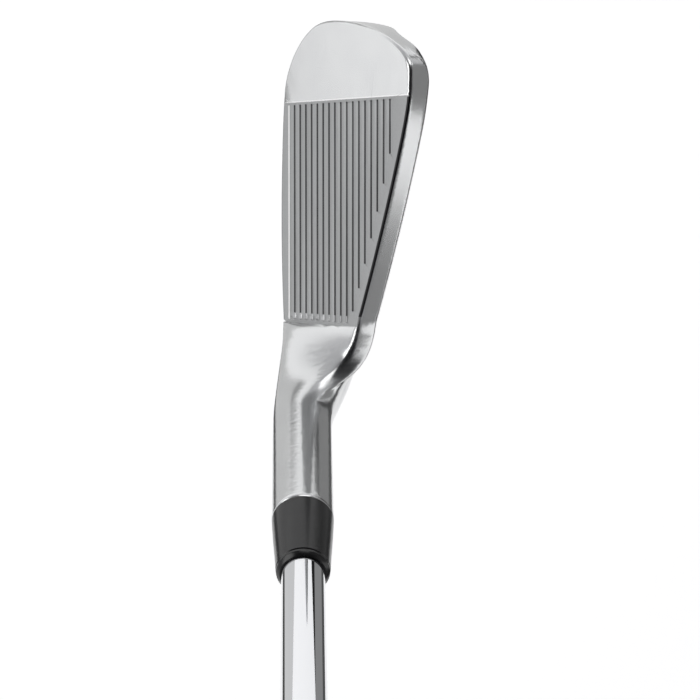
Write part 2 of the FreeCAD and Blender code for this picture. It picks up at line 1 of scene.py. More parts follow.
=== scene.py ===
# %% [markdown]
# # An iron golf club
# The club stands as a golfer holds it at address: the sole rests on the plane
# Z = 0 and the shaft rises at 62 degrees toward +X. This notebook loads the solid
# pieces, gives the ones that show a finer mesh, and then makes each finish from
# shader nodes. Sizes are in millimetres until `mm` turns them into metres.
#
# The solid pieces come from a designer's model, and they hold every size. What
# is added here only rounds and finishes what the eye can reach.

# %% Load the club
import math

import bpy
from mathutils import Matrix, Vector


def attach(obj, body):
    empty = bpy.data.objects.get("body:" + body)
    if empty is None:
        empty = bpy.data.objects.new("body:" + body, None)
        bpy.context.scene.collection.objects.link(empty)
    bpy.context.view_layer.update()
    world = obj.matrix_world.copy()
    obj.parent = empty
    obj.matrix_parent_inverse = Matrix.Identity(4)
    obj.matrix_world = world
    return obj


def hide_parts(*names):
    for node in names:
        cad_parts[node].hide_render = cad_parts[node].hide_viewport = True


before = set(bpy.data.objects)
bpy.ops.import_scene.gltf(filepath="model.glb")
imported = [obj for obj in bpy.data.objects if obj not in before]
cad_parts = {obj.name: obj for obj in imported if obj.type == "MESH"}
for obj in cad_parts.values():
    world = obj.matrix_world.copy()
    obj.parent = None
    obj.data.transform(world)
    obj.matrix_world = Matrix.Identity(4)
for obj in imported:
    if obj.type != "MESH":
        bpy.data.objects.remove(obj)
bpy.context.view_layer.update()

print("pieces:", sorted(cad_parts))

# %% [markdown]
# ## Measures
# A club has two natural frames. Along the shaft, everything is round, so a piece
# there is turned about its own Z axis and then leaned over. On the face, places
# are measured toward the toe, up the face and behind the face. The lie is the
# angle from the ground to the shaft, and the loft tips the face back.

# %% Millimetres and the two frames
def mm(value):
    """Millimetres as the metres that Blender works in."""
    return value / 1000.0


LIE = math.radians(62.0)
LOFT = math.radians(33.0)
HEEL_REACH = 32.15
CLUB_LENGTH = 939.8
FIRST_LINE_FORWARD = 3.03
FIRST_LINE_HEIGHT = 5.72
SHAFT_FOOT = Matrix.Translation((mm(HEEL_REACH), 0, 0))
SHAFT_FRAME = SHAFT_FOOT @ Matrix.Rotation(math.pi / 2 - LIE, 4, "Y")
FACE_ORIGIN = Vector((0, -mm(FIRST_LINE_FORWARD), mm(FIRST_LINE_HEIGHT)))
TO_TOE = Vector((-1, 0, 0))
UP_FACE = Vector((0, math.sin(LOFT), math.cos(LOFT)))
BEHIND_FACE = Vector((0, math.cos(LOFT), -math.sin(LOFT)))
print("butt end of the shaft at", [round(v, 4) for v in SHAFT_FRAME @ Vector((0, 0, mm(CLUB_LENGTH)))])

# %% [markdown]
# ## Turned pieces
# The ferrule, shaft, band, grip and cap are round. On a lathe a tool follows one
# outline while the work turns. Blender's Spin does the same: one vertex is
# extruded from point to point of the outline, and the line is spun once round.
# The mesh then leans over with the shaft, and its place is applied to it.

# %% Turn an outline into a piece
def pick_nothing():
    """Leaves edit mode and deselects everything."""
    if bpy.context.object and bpy.context.object.mode != "OBJECT":
        bpy.ops.object.mode_set(mode="OBJECT")
    bpy.ops.object.select_all(action="DESELECT")


def turned(name, outline, steps=96, sharp=30):
    """A ring-shaped piece from (radius, height along the shaft) points, in millimetres."""
    pick_nothing()
    bpy.ops.mesh.primitive_plane_add(size=mm(1))
    piece = bpy.context.object
    piece.name = name
    bpy.ops.object.mode_set(mode="EDIT")
    bpy.ops.mesh.select_all(action="SELECT")
    bpy.ops.mesh.merge(type="CENTER")
    points = [Vector((mm(radius), 0, mm(along))) for radius, along in outline]
    bpy.ops.transform.translate(value=points[0])
    for start, end in zip(points, points[1:] + points[:1]):
        bpy.ops.mesh.extrude_region_move(TRANSFORM_OT_translate={"value": end - start})
    bpy.ops.mesh.select_all(action="SELECT")
    bpy.ops.mesh.spin(steps=steps, angle=2 * math.pi, center=(0, 0, 0), axis=(0, 0, 1))
    bpy.ops.mesh.select_all(action="SELECT")
    bpy.ops.mesh.remove_doubles(threshold=mm(0.002))
    bpy.ops.mesh.normals_make_consistent(inside=False)
    bpy.ops.object.mode_set(mode="OBJECT")
    piece.matrix_world = SHAFT_FRAME
    bpy.ops.object.transform_apply(location=True, rotation=True, scale=True)
    bpy.ops.object.shade_smooth_by_angle(angle=math.radians(sharp))
    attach(piece, "root")
    print(name, "has", len(piece.data.polygons), "faces")
    return piece


# %% [markdown]
# ## Shaft
# A steel iron shaft is a tube that grows thicker in steps, drawn through one die
# after another. It could be one cone, but the steps catch the light in rings, so
# each is turned as a short slope between two straight stretches. Below the first
# step the tube tapers slowly to the tip, which sits in the hosel.

# %% Shaft
HOSEL_END = 73.9
TIP_START = 43.7
TIP_RADIUS = 4.51
TIP_TAPER = 0.0019
FIRST_STEP = 230.0
STEP_COUNT = 13
STEP_PITCH = 34.0
STEP_SLOPE = 2.5
BUTT_RADIUS = 7.62
BUTT_WALL = 0.45
TIP_BORE = 3.65
CAP_FOOT = 935.8


def tip_radius(along):
    """The outside radius of the tapered tip at a height along the shaft."""
    return TIP_RADIUS + TIP_TAPER * (along - TIP_START)


rise = (BUTT_RADIUS - tip_radius(FIRST_STEP)) / STEP_COUNT
shaft_outline = [(tip_radius(TIP_START), TIP_START), (tip_radius(FIRST_STEP), FIRST_STEP)]
for step in range(STEP_COUNT):
    radius = tip_radius(FIRST_STEP) + rise * (step + 1)
    shaft_outline.append((radius, FIRST_STEP + STEP_PITCH * step + STEP_SLOPE))
    if step + 1 < STEP_COUNT:
        shaft_outline.append((radius, FIRST_STEP + STEP_PITCH * (step + 1)))
shaft_outline += [
    (BUTT_RADIUS, CAP_FOOT),
    (BUTT_RADIUS - BUTT_WALL, CAP_FOOT),
    (BUTT_RADIUS - BUTT_WALL, FIRST_STEP + STEP_PITCH * STEP_COUNT),
    (TIP_BORE, FIRST_STEP),
    (TIP_BORE, TIP_START),
]
shaft = turned("steel_shaft", shaft_outline, steps=128)
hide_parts("shaft")

# %% [markdown]
# ## Ferrule
# The ferrule is a plastic collar that hides the step from the hosel to the
# shaft. It is pressed on, glued, and turned down flush with the hosel, so it is
# a cone with a faint swell. A knife cut near its small end and a chamfer are all
# its trim. A cone primitive has no such swell, so it is turned from an outline.

# %% Ferrule
FERRULE_GAP = 0.03
FERRULE_END = HOSEL_END + 19.0
ferrule_outline = [
    (tip_radius(HOSEL_END) + FERRULE_GAP, HOSEL_END),
    (6.62, HOSEL_END),
    (6.7, HOSEL_END + 0.12),
    (6.62, HOSEL_END + 2.5),
    (6.3, HOSEL_END + 8.5),
    (5.98, HOSEL_END + 13.5),
    (5.78, HOSEL_END + 17.3),
    (5.52, HOSEL_END + 17.5),
    (5.70, HOSEL_END + 17.7),
    (5.68, HOSEL_END + 18.2),
    (5.6, HOSEL_END + 18.35),
    (5.05, HOSEL_END + 18.9),
    (4.95, FERRULE_END),
    (tip_radius(FERRULE_END) + FERRULE_GAP, FERRULE_END),
]
ferrule = turned("turned_ferrule", ferrule_outline, steps=128, sharp=25)
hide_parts("ferrule")

# %% [markdown]
# ## Hosel lip
# The hosel's end is turned true and its corner broken with a small chamfer, which
# catches a bright line above the ferrule. The chamfer could be a bevel on the
# head's mesh, but that edge crosses many small triangles, so a thin turned ring
# of the same steel gives it a clean edge.

# %% Hosel lip
lip_outline = [
    (6.5, HOSEL_END - 1.5),
    (6.71, HOSEL_END - 1.5),
    (6.73, HOSEL_END - 0.45),
    (6.66, HOSEL_END - 0.28),
    (6.45, HOSEL_END - 0.04),
    (6.2, HOSEL_END - 0.04),
]
lip = turned("hosel_lip", lip_outline, steps=128, sharp=25)

# %% [markdown]
# ## Shaft band
# A thin film is wrapped round the shaft below the grip. It stays plain here, and
# it is turned as a thin sleeve that stands a little proud of the tube.

# %% Band
BAND_START = 643.0
BAND_END = BAND_START + 26.0
FILM = 0.15
band_outline = [
    (BUTT_RADIUS, BAND_START),
    (BUTT_RADIUS + FILM, BAND_START),
    (BUTT_RADIUS + FILM, BAND_END),
    (BUTT_RADIUS, BAND_END),
]
band = turned("film_band", band_outline)
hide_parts("shaft_band")

# %% [markdown]
# ## Grip and cap
# The grip is moulded rubber: a rolled lip at the mouth, a long taper and a flare
# that meets the cap. The cap is moulded with a soft edge, a shallow ring groove
# and a small hole that lets the air out when the grip is slid on. Both are
# turned, and the taper gets many rings so that its shading stays even.

# %% Grip
GRIP_BORE = 7.92
GRIP_MOUTH = 672.8
TAPER_START = (9.25, 680.5)
TAPER_RISE = (4.15, 246.3)
TAPER_RINGS = 24
grip_outline = [
    (GRIP_BORE, GRIP_MOUTH),
    (8.7, GRIP_MOUTH),
    (9.25, 673.1),
    (9.5, 673.8),
    (9.5, 677.3),
    (9.4, 678.1),
    (9.2, 679.3),
]
for ring in range(TAPER_RINGS + 1):
    share = ring / TAPER_RINGS
    grip_outline.append((TAPER_START[0] + TAPER_RISE[0] * share, TAPER_START[1] + TAPER_RISE[1] * share))
grip_outline += [(13.75, 930.2), (14.4, 933.4), (14.8, 934.9), (14.8, CAP_FOOT), (GRIP_BORE, CAP_FOOT)]
grip = turned("moulded_grip", grip_outline, steps=128, sharp=40)
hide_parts("grip")

# %% Cap
VENT_RADIUS = 1.75
cap_outline = [
    (VENT_RADIUS, CAP_FOOT),
    (14.9, CAP_FOOT),
    (15.2, CAP_FOOT + 0.3),
    (15.2, 937.4),
    (14.97, 938.4),
    (14.4, 939.2),
    (13.6, 939.68),
    (12.8, CLUB_LENGTH),
    (11.2, CLUB_LENGTH),
    (10.9, 939.5),
    (10.3, 939.5),
    (10.0, CLUB_LENGTH),
    (2.3, CLUB_LENGTH),
    (VENT_RADIUS, 939.4),
]
cap = turned("moulded_cap", cap_outline, steps=128, sharp=40)
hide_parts("grip_cap")

# %% [markdown]
# ## Cast and pressed pieces
# The head and the pieces set in it keep the designed shape. Their meshes come as
# loose triangles, so a copy of each is merged at its shared points and shaded
# smooth wherever two faces meet at a small angle, as light runs over cast metal.
# A Weighted Normal modifier lets the large flats keep their own direction, so
# the milled face stays level right up to its edge.

# %% Smooth copies
def smooth_copy(node, name, sharp):
    """A merged and smoothly shaded copy of a solid piece."""
    pick_nothing()
    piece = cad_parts[node].copy()
    piece.data = piece.data.copy()
    piece.name = name
    for key in list(piece.keys()):
        del piece[key]
    piece.parent = None
    bpy.context.scene.collection.objects.link(piece)
    bpy.context.view_layer.objects.active = piece
    piece.select_set(True)
    bpy.ops.object.mode_set(mode="EDIT")
    bpy.ops.mesh.select_all(action="SELECT")
    bpy.ops.mesh.remove_doubles(threshold=mm(0.0005))
    bpy.ops.object.mode_set(mode="OBJECT")
    bpy.ops.object.shade_smooth_by_angle(angle=math.radians(sharp))
    level = piece.modifiers.new("level_flats", "WEIGHTED_NORMAL")
    level.mode = "FACE_AREA"
    level.weight = 100
    level.keep_sharp = True
    bpy.ops.object.modifier_apply(modifier=level.name)
    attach(piece, "root")
    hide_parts(node)
    print(name, "has", len(piece.data.polygons), "faces")
    return piece


head = smooth_copy("head", "cast_head", 24)
badge = smooth_copy("cavity_badge", "pressed_badge", 30)
weight = smooth_copy("toe_weight", "turned_weight", 30)
damper = smooth_copy("damper", "moulded_damper", 30)

# %% [markdown]
# ## Materials
# Every finish is a Principled shader with a few nodes in front of it. One
# function turns a screen colour, written as hex, into the linear light that the
# shader works in. Another adds a node with its settings and links, and the node
# editor could do the same by hand. A number that is the same all over a piece
# is set on the shader itself.

# %% Colour and node helpers
def colour(code):
    """A screen colour such as "c8c8c8" as linear red, green, blue and alpha."""
    parts = [int(code[i : i + 2], 16) / 255 for i in (0, 2, 4)]
    linear = [p / 12.92 if p <= 0.04045 else ((p + 0.055) / 1.055) ** 2.4 for p in parts]
    return (*linear, 1.0)


def material(name):
    """An empty material and its node tree."""
    made = bpy.data.materials.new(name)
    made.use_nodes = True
    made.node_tree.nodes.clear()
    return made, made.node_tree


def add(tree, kind, settings=(), **inputs):
    """Adds a node. An input's name has _ for a space, or is i0, i1 for its place."""
    made = tree.nodes.new("ShaderNode" + kind)
    for key, value in dict(settings).items():
        setattr(made, key, value)
    for key, value in inputs.items():
        place = int(key[1:]) if key[0] == "i" and key[1:].isdigit() else key.replace("_", " ")
        if isinstance(value, bpy.types.NodeSocket):
            tree.links.new(value, made.inputs[place])
        else:
            made.inputs[place].default_value = value
    return made


PRODUCT = {"operation": "MULTIPLY"}
LARGER = {"operation": "MAXIMUM"}
TINT = {"data_type": "RGBA"}
print("mid grey in linear light:", round(colour("808080")[0], 3))

# %% [markdown]
# ### Masks
# A finish often covers only part of a piece. A mask is a number that is 1 inside
# a stretch and 0 outside it, made from two ramps that are multiplied. On the face
# the stretches are measured toward the toe, up the face and behind it.

# %% Masks
def between(tree, value, low, high, soft):
    """1 where a value lies between two limits, fading over a soft width, else 0."""
    ramp = {"interpolation_type": "SMOOTHSTEP"}
    rise = add(tree, "MapRange", ramp, Value=value, From_Min=low - soft, From_Max=low + soft)
    fall = add(
        tree, "MapRange", ramp,
        Value=value, From_Min=high - soft, From_Max=high + soft, To_Min=1.0, To_Max=0.0,
    )
    return add(tree, "Math", PRODUCT, i0=rise.outputs[0], i1=fall.outputs[0]).outputs[0]


def face_places(tree):
    """How far toward the toe, up the face and behind it, in metres."""
    place = add(tree, "TexCoord").outputs["Object"]
    offset = add(tree, "VectorMath", {"operation": "SUBTRACT"}, i0=place, i1=FACE_ORIGIN).outputs[0]
    found = []
    for way in (TO_TOE, UP_FACE, BEHIND_FACE):
        along = add(tree, "VectorMath", {"operation": "DOT_PRODUCT"}, i0=offset, i1=way)
        found.append(along.outputs["Value"])
    return found


print("face measured along", [round(v, 3) for v in UP_FACE])

# %% [markdown]
# ### Head: cast stainless steel
# 17-4 stainless is cast, ground and tumbled to a satin sheen, so its reflections
# are soft and slightly drawn out. The scoring area is masked and blasted with
# grit, which makes it a flat matte grey with a crisp edge; past its toe end a
# thin near-white strip is a painted highlight. The scoring lines are pressed
# through both, and their insides are painted dark grey as painted shade.

# %% Head material
head_steel, tree = material("satin_cast_17_4_stainless_steel")
toeward, upward, behind = face_places(tree)
place = add(tree, "TexCoord").outputs["Object"]
HEEL_EDGE, TOE_EDGE = -26.8, 25.5
front = between(tree, behind, mm(-1.0), mm(0.34), mm(0.03))
blasted_width = between(tree, toeward, mm(HEEL_EDGE), mm(TOE_EDGE), mm(0.04))
# a near-white strip 0.25 mm wide past the toe end of the blasted area is a painted highlight
toe_highlight_width = between(tree, toeward, mm(TOE_EDGE), mm(TOE_EDGE + 0.25), mm(0.05))
zone = add(tree, "Math", PRODUCT, i0=blasted_width, i1=front).outputs[0]
painted_toe_highlight = add(tree, "Math", PRODUCT, i0=toe_highlight_width, i1=front).outputs[0]
sunk = between(tree, behind, mm(0.07), mm(0.6), mm(0.03))
inside_ends = between(tree, toeward, mm(-24.5), mm(25.2), mm(0.1))
above_sole = between(tree, upward, mm(-0.8), mm(60.0), mm(0.1))
line = add(tree, "Math", PRODUCT, i0=sunk, i1=inside_ends).outputs[0]
painted_line_shade = add(tree, "Math", PRODUCT, i0=line, i1=above_sole).outputs[0]

# blasted pits are finer than this, but at a third of a millimetre they can show
grit = add(tree, "TexNoise", Vector=place, Scale=1 / mm(0.35), Detail=3.0, Roughness=0.6).outputs["Fac"]
# tumbling leaves broad, faint clouds and very fine scratches along the club head
clouds = add(tree, "TexNoise", Vector=place, Scale=1 / mm(9.0), Detail=2.0).outputs["Fac"]
drawn = add(tree, "Mapping", Vector=place, Scale=(1.0, 14.0, 14.0)).outputs[0]
scratches = add(tree, "TexNoise", Vector=drawn, Scale=1 / mm(6.0), Detail=4.0, Roughness=0.7).outputs["Fac"]

satin = add(tree, "Mix", TINT, Factor=clouds, i6=colour("d2d3d4"), i7=colour("dcdddd")).outputs[2]
blasted = add(tree, "Mix", TINT, Factor=grit, i6=colour("a9aaab"), i7=colour("bbbcbc")).outputs[2]
tone = add(tree, "Mix", TINT, Factor=zone, i6=satin, i7=blasted).outputs[2]
tone = add(tree, "Mix", TINT, Factor=painted_toe_highlight, i6=tone, i7=colour("eeeeee")).outputs[2]
# the insides of the scoring lines are painted dark grey as painted shade
tone = add(tree, "Mix", TINT, Factor=painted_line_shade, i6=tone, i7=colour("4d4d4e")).outputs[2]
polish = add(tree, "MapRange", Value=scratches, To_Min=0.18, To_Max=0.25).outputs[0]
roughness = add(tree, "Mix", Factor=zone, i2=polish, i3=0.52).outputs[0]
height = add(tree, "Math", PRODUCT, i0=grit, i1=zone).outputs[0]
pits = add(tree, "Bump", Strength=0.35, Distance=mm(0.05), Height=height).outputs[0]
drag = add(tree, "Bump", Strength=0.06, Distance=mm(0.05), Height=scratches, Normal=pits).outputs[0]
steel = add(
    tree, "BsdfPrincipled", Base_Color=tone, Metallic=1.0, Roughness=roughness, Normal=drag
)
add(tree, "OutputMaterial", Surface=steel.outputs[0])
print(head_steel.name, "has", len(tree.nodes), "nodes")

# %% [markdown]
# ### Line paint: white enamel
# The lowest line is filled with enamel that is wiped level, so it is thin at its
# edges and slightly uneven.

# %% Line paint material
enamel, tree = material("white_wiped_enamel")
place = add(tree, "TexCoord").outputs["Object"]
wiped = add(tree, "TexNoise", Vector=place, Scale=1 / mm(1.5), Detail=3.0).outputs["Fac"]
tone = add(tree, "Mix", TINT, Factor=wiped, i6=colour("f2f2f0"), i7=colour("ffffff")).outputs[2]
dimple = add(tree, "Bump", Strength=0.2, Distance=mm(0.03), Height=wiped).outputs[0]
paint = add(tree, "BsdfPrincipled", Base_Color=tone, Roughness=0.35, Normal=dimple)
add(tree, "OutputMaterial", Surface=paint.outputs[0])
print(enamel.name, "has", len(tree.nodes), "nodes")

# %% [markdown]
# ### Shaft: chrome plate
# Nickel and chrome over polished steel give a mirror. Polishing runs round the
# tube, so only a trace of fine rings breaks the reflection.

# %% Shaft material
def along_shaft(tree):
    """Object coordinates turned so that Z runs up the shaft."""
    place = add(tree, "TexCoord").outputs["Object"]
    back = SHAFT_FRAME.inverted()
    upright = add(tree, "Mapping", Vector=place, Location=back.to_translation(), Rotation=back.to_euler())
    return upright.outputs[0]


def rings(tree, place, pitch, squeeze=0.02):
    """Fine turning marks round the shaft's axis, one about every pitch."""
    flat = add(tree, "Mapping", Vector=place, Scale=(squeeze, squeeze, 1.0)).outputs[0]
    return add(tree, "TexNoise", Vector=flat, Scale=1 / pitch, Detail=3.0, Roughness=0.6).outputs["Fac"]


chrome, tree = material("mirror_chrome_on_polished_steel")
marks = rings(tree, along_shaft(tree), mm(0.4))
roughness = add(tree, "MapRange", Value=marks, To_Min=0.015, To_Max=0.04).outputs[0]
drag = add(tree, "Bump", Strength=0.02, Distance=mm(0.02), Height=marks).outputs[0]
plate = add(
    tree, "BsdfPrincipled", Base_Color=colour("e6e7e9"), Metallic=1.0, Roughness=roughness, Normal=drag
)
add(tree, "OutputMaterial", Surface=plate.outputs[0])
print(chrome.name, "has", len(tree.nodes), "nodes")

# %% [markdown]
# ### Ferrule: black cellulose plastic
# It is turned on the hosel with a belt and wiped with solvent, which leaves fine
# rings under a soft gloss.

# %% Ferrule material
black_plastic, tree = material("black_turned_cellulose_plastic")
marks = rings(tree, along_shaft(tree), mm(0.5))
roughness = add(tree, "MapRange", Value=marks, To_Min=0.18, To_Max=0.3).outputs[0]
drag = add(tree, "Bump", Strength=0.25, Distance=mm(0.04), Height=marks).outputs[0]
plastic = add(
    tree, "BsdfPrincipled", Base_Color=colour("141415"), Roughness=roughness, IOR=1.49, Normal=drag
)
add(tree, "OutputMaterial", Surface=plastic.outputs[0])
print(black_plastic.name, "has", len(tree.nodes), "nodes")

# %% [markdown]
# ### Grip and cap: moulded rubber
# Natural rubber with carbon black is matte. The mould leaves a net of fine
# grooves between small lozenges, and a fine blasted skin on them. Two sets of
# spiral waves, one each way, cross to make the net: 28 half waves go round, and
# one wave is 6 mm long.

# %% Grip material
rubber, tree = material("black_moulded_natural_rubber")
place = along_shaft(tree)
split = add(tree, "SeparateXYZ", Vector=place)
angle = add(tree, "Math", {"operation": "ARCTAN2"}, i0=split.outputs[1], i1=split.outputs[0]).outputs[0]
WAVES_ROUND = 14.0
WAVE_LENGTH = 6.0
around = add(tree, "Math", PRODUCT, i0=angle, i1=WAVES_ROUND).outputs[0]
up = add(tree, "Math", PRODUCT, i0=split.outputs[2], i1=2 * math.pi / mm(WAVE_LENGTH)).outputs[0]
waves = []
for way in ("ADD", "SUBTRACT"):
    phase = add(tree, "Math", {"operation": way}, i0=around, i1=up).outputs[0]
    wave = add(tree, "Math", {"operation": "SINE"}, i0=phase).outputs[0]
    waves.append(add(tree, "Math", {"operation": "ABSOLUTE"}, i0=wave).outputs[0])
net = add(tree, "Math", LARGER, i0=waves[0], i1=waves[1]).outputs[0]
crests = add(tree, "Math", {"operation": "POWER"}, i0=net, i1=8.0).outputs[0]
patterned = between(tree, split.outputs[2], mm(684.0), mm(922.0), mm(0.5))
grooves = add(tree, "Math", PRODUCT, i0=crests, i1=patterned).outputs[0]
skin = add(tree, "TexNoise", Vector=place, Scale=1 / mm(0.5), Detail=3.0).outputs["Fac"]
cut = add(tree, "Bump", {"invert": True}, Strength=0.7, Distance=mm(0.35), Height=grooves).outputs[0]
grain = add(tree, "Bump", Strength=0.25, Distance=mm(0.05), Height=skin, Normal=cut).outputs[0]
tone = add(tree, "Mix", TINT, Factor=skin, i6=colour("1c1c1d"), i7=colour("2a2a2b")).outputs[2]
# the net's grooves are painted darker than the rubber as painted shade
tone = add(tree, "Mix", TINT, Factor=grooves, i6=tone, i7=colour("121213")).outputs[2]
roughness = add(tree, "MapRange", Value=skin, To_Min=0.58, To_Max=0.78).outputs[0]
moulded = add(tree, "BsdfPrincipled", Base_Color=tone, Roughness=roughness, IOR=1.52, Normal=grain)
add(tree, "OutputMaterial", Surface=moulded.outputs[0])
print(rubber.name, "has", len(tree.nodes), "nodes")

# %% [markdown]
# ### Badge: brushed and anodised aluminium
# The plate in the cavity is brushed along its length, dyed dark grey and sealed.
# A plain pressed rim and two plain bars are all its trim.

# %% Badge material
badge_metal, tree = material("brushed_dark_anodised_aluminium")
toeward, upward, behind = face_places(tree)
place = add(tree, "TexCoord").outputs["Object"]
drawn = add(tree, "Mapping", Vector=place, Scale=(1.0, 30.0, 30.0)).outputs[0]
brushed = add(tree, "TexNoise", Vector=drawn, Scale=1 / mm(12.0), Detail=5.0, Roughness=0.7).outputs["Fac"]
low_bar = between(tree, upward, mm(19.2), mm(20.4), mm(0.08))
high_bar = between(tree, upward, mm(22.0), mm(22.8), mm(0.08))
bar_length = between(tree, toeward, mm(-14.0), mm(22.0), mm(0.1))
bars = add(tree, "Math", LARGER, i0=low_bar, i1=high_bar).outputs[0]
bars = add(tree, "Math", PRODUCT, i0=bars, i1=bar_length).outputs[0]
tone = add(tree, "Mix", TINT, Factor=brushed, i6=colour("3a3d41"), i7=colour("565a5f")).outputs[2]
tone = add(tree, "Mix", TINT, Factor=bars, i6=tone, i7=colour("c9cacb")).outputs[2]
roughness = add(tree, "MapRange", Value=brushed, To_Min=0.26, To_Max=0.44).outputs[0]
nap = add(tree, "Math", PRODUCT, i0=brushed, i1=0.2).outputs[0]
height = add(tree, "Math", {"operation": "ADD"}, i0=nap, i1=bars).outputs[0]
press = add(tree, "Bump", Strength=0.4, Distance=mm(0.12), Height=height).outputs[0]
dyed = add(tree, "BsdfPrincipled", Base_Color=tone, Metallic=1.0, Roughness=roughness, Normal=press)
add(tree, "OutputMaterial", Surface=dyed.outputs[0])
print(badge_metal.name, "has", len(tree.nodes), "nodes")

# %% [markdown]
# ### Small and hidden pieces
# The toe weight is turned tungsten, the tip pin is turned brass, and rubber,
# foam, paper, film and epoxy fill the rest. Each is one colour pair with a grain
# of its own size.

# %% Small materials
ROUGHNESS_SPREAD = 0.07


def grained(name, dark, light, grain_mm, rough, bump=0.2, **look):
    """A finish whose colour, roughness and height follow one noise of a real size."""
    made, tree = material(name)
    smoothest, roughest = rough - ROUGHNESS_SPREAD, rough + ROUGHNESS_SPREAD
    place = add(tree, "TexCoord").outputs["Object"]
    grain = add(
        tree, "TexNoise", Vector=place, Scale=1 / mm(grain_mm), Detail=4.0, Roughness=0.6
    ).outputs["Fac"]
    tone = add(tree, "Mix", TINT, Factor=grain, i6=colour(dark), i7=colour(light)).outputs[2]
    roughness = add(tree, "MapRange", Value=grain, To_Min=smoothest, To_Max=roughest).outputs[0]
    height = add(tree, "Bump", Strength=bump, Distance=mm(0.05), Height=grain).outputs[0]
    main = add(tree, "BsdfPrincipled", Base_Color=tone, Roughness=roughness, Normal=height, **look)
    add(tree, "OutputMaterial", Surface=main.outputs[0])
    print(made.name, "has", len(tree.nodes), "nodes")
    return made


tungsten = grained("turned_tungsten_alloy", "77777a", "929295", 0.8, 0.34, Metallic=1.0)
brass = grained("turned_brass", "a98645", "c9a75f", 0.8, 0.32, Metallic=1.0)
damper_rubber = grained("black_moulded_butyl_rubber", "161617", "242425", 0.5, 0.62)
foam = grained("black_acrylic_foam_tape", "151515", "222222", 0.3, 0.8)
epoxy = grained("cured_epoxy", "a89a6c", "bfb284", 1.2, 0.3, bump=0.1, IOR=1.55)
paper = grained("cream_crepe_paper_tape", "cabf9f", "e2d8bc", 0.7, 0.85)
film = grained("matte_dark_polyester_film", "22262d", "2d323a", 2.0, 0.36, bump=0.05, IOR=1.57)

# %% [markdown]
# ### Which piece gets which finish
# A material is put on a piece by its slots. The finer pieces get theirs, and so
# do the loaded pieces that stay as they are.

# %% Give each piece its finish
finishes = [
    (head, head_steel),
    (lip, head_steel),
    (shaft, chrome),
    (ferrule, black_plastic),
    (band, film),
    (grip, rubber),
    (cap, rubber),
    (badge, badge_metal),
    (weight, tungsten),
    (damper, damper_rubber),
    (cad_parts["line_paint"], enamel),
    (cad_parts["badge_tape"], foam),
    (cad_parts["hosel_bond"], epoxy),
    (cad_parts["tip_pin"], brass),
    (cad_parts["grip_tape"], paper),
]
for piece, made in finishes:
    piece.data.materials.clear()
    piece.data.materials.append(made)
    print(piece.name, "is finished in", made.name)

# %% [markdown]
# ## Studio
# The club is shown over a pale seamless table under broad soft lights. The table
# lies a little below the club, as when a product hangs on a wire over white
# paper, so no shadow touches the sole.

# %% Floor
def flat_card(name, centre, size, code, glow, turn=(0, 0, 0)):
    """A plain card of one tone, which shines a little by itself."""
    pick_nothing()
    bpy.ops.mesh.primitive_plane_add(size=1, location=centre, rotation=turn)
    card = bpy.context.object
    card.name = name
    card.scale = (size[0], size[1], 1)
    made, tree = material(name + "_paint")
    coat = add(
        tree, "BsdfPrincipled", Base_Color=colour(code), Roughness=0.9,
        Emission_Color=colour(code), Emission_Strength=glow,
    )
    add(tree, "OutputMaterial", Surface=coat.outputs[0])
    card.data.materials.append(made)
    print(name, "is", size, "metres")
    return card


FLOOR = -0.45
FLOOR_SIZE = 9
flat_card("floor", (0, 0, FLOOR), (FLOOR_SIZE, FLOOR_SIZE), "ffffff", 0.58)

# %% [markdown]
# ## Cards for the metal
# Polished metal is only as good as what it reflects. A photographer lays plain
# grey and black cards round a shiny thing to draw its edges. Here a fan of long
# plain cards lies under the club, and each becomes one stripe along the shaft
# and, more softly, along the hosel. Only mirrors see them, so the table itself
# stays plain. Each card is one line, spun about the middle of the fan.

# %% Fan of plain cards
FAN_CENTRE = Vector((mm(75), 0, FLOOR + mm(10)))
FAN_LENGTH = 0.85


def fan_card(name, start, end, code):
    """A flat card that fills the angle from start to end, in degrees off the -X way."""
    pick_nothing()
    bpy.ops.mesh.primitive_plane_add(size=mm(1), location=FAN_CENTRE)
    card = bpy.context.object
    card.name = name
    bpy.ops.object.mode_set(mode="EDIT")
    bpy.ops.mesh.select_all(action="SELECT")
    bpy.ops.mesh.merge(type="CENTER")
    way = Vector((-math.cos(math.radians(start)), math.sin(math.radians(start)), 0))
    bpy.ops.mesh.extrude_region_move(TRANSFORM_OT_translate={"value": way * FAN_LENGTH})
    bpy.ops.mesh.select_all(action="SELECT")
    # Spin turns clockwise as seen from the end of its axis
    sweep = math.radians(end - start)
    bpy.ops.mesh.spin(steps=12, angle=sweep, center=FAN_CENTRE, axis=(0, 0, 1))
    bpy.ops.mesh.select_all(action="SELECT")
    bpy.ops.mesh.remove_doubles(threshold=mm(0.1))
    bpy.ops.object.mode_set(mode="OBJECT")
    made, tree = material(name + "_paint")
    coat = add(
        tree, "BsdfPrincipled", Base_Color=colour("000000"), Roughness=1.0,
        Emission_Color=colour(code), Emission_Strength=1.0,
    )
    add(tree, "OutputMaterial", Surface=coat.outputs[0])
    card.data.materials.append(made)
    far = max((vertex.co.y for vertex in card.data.vertices), key=abs)
    print(name, "has", len(card.data.polygons), "faces and reaches y =", round(far, 2))
    return card


def only_for_mirrors(thing):
    """Hides a card from the camera and from matte surfaces."""
    thing.visible_camera = False
    thing.visible_diffuse = False
    thing.visible_shadow = False


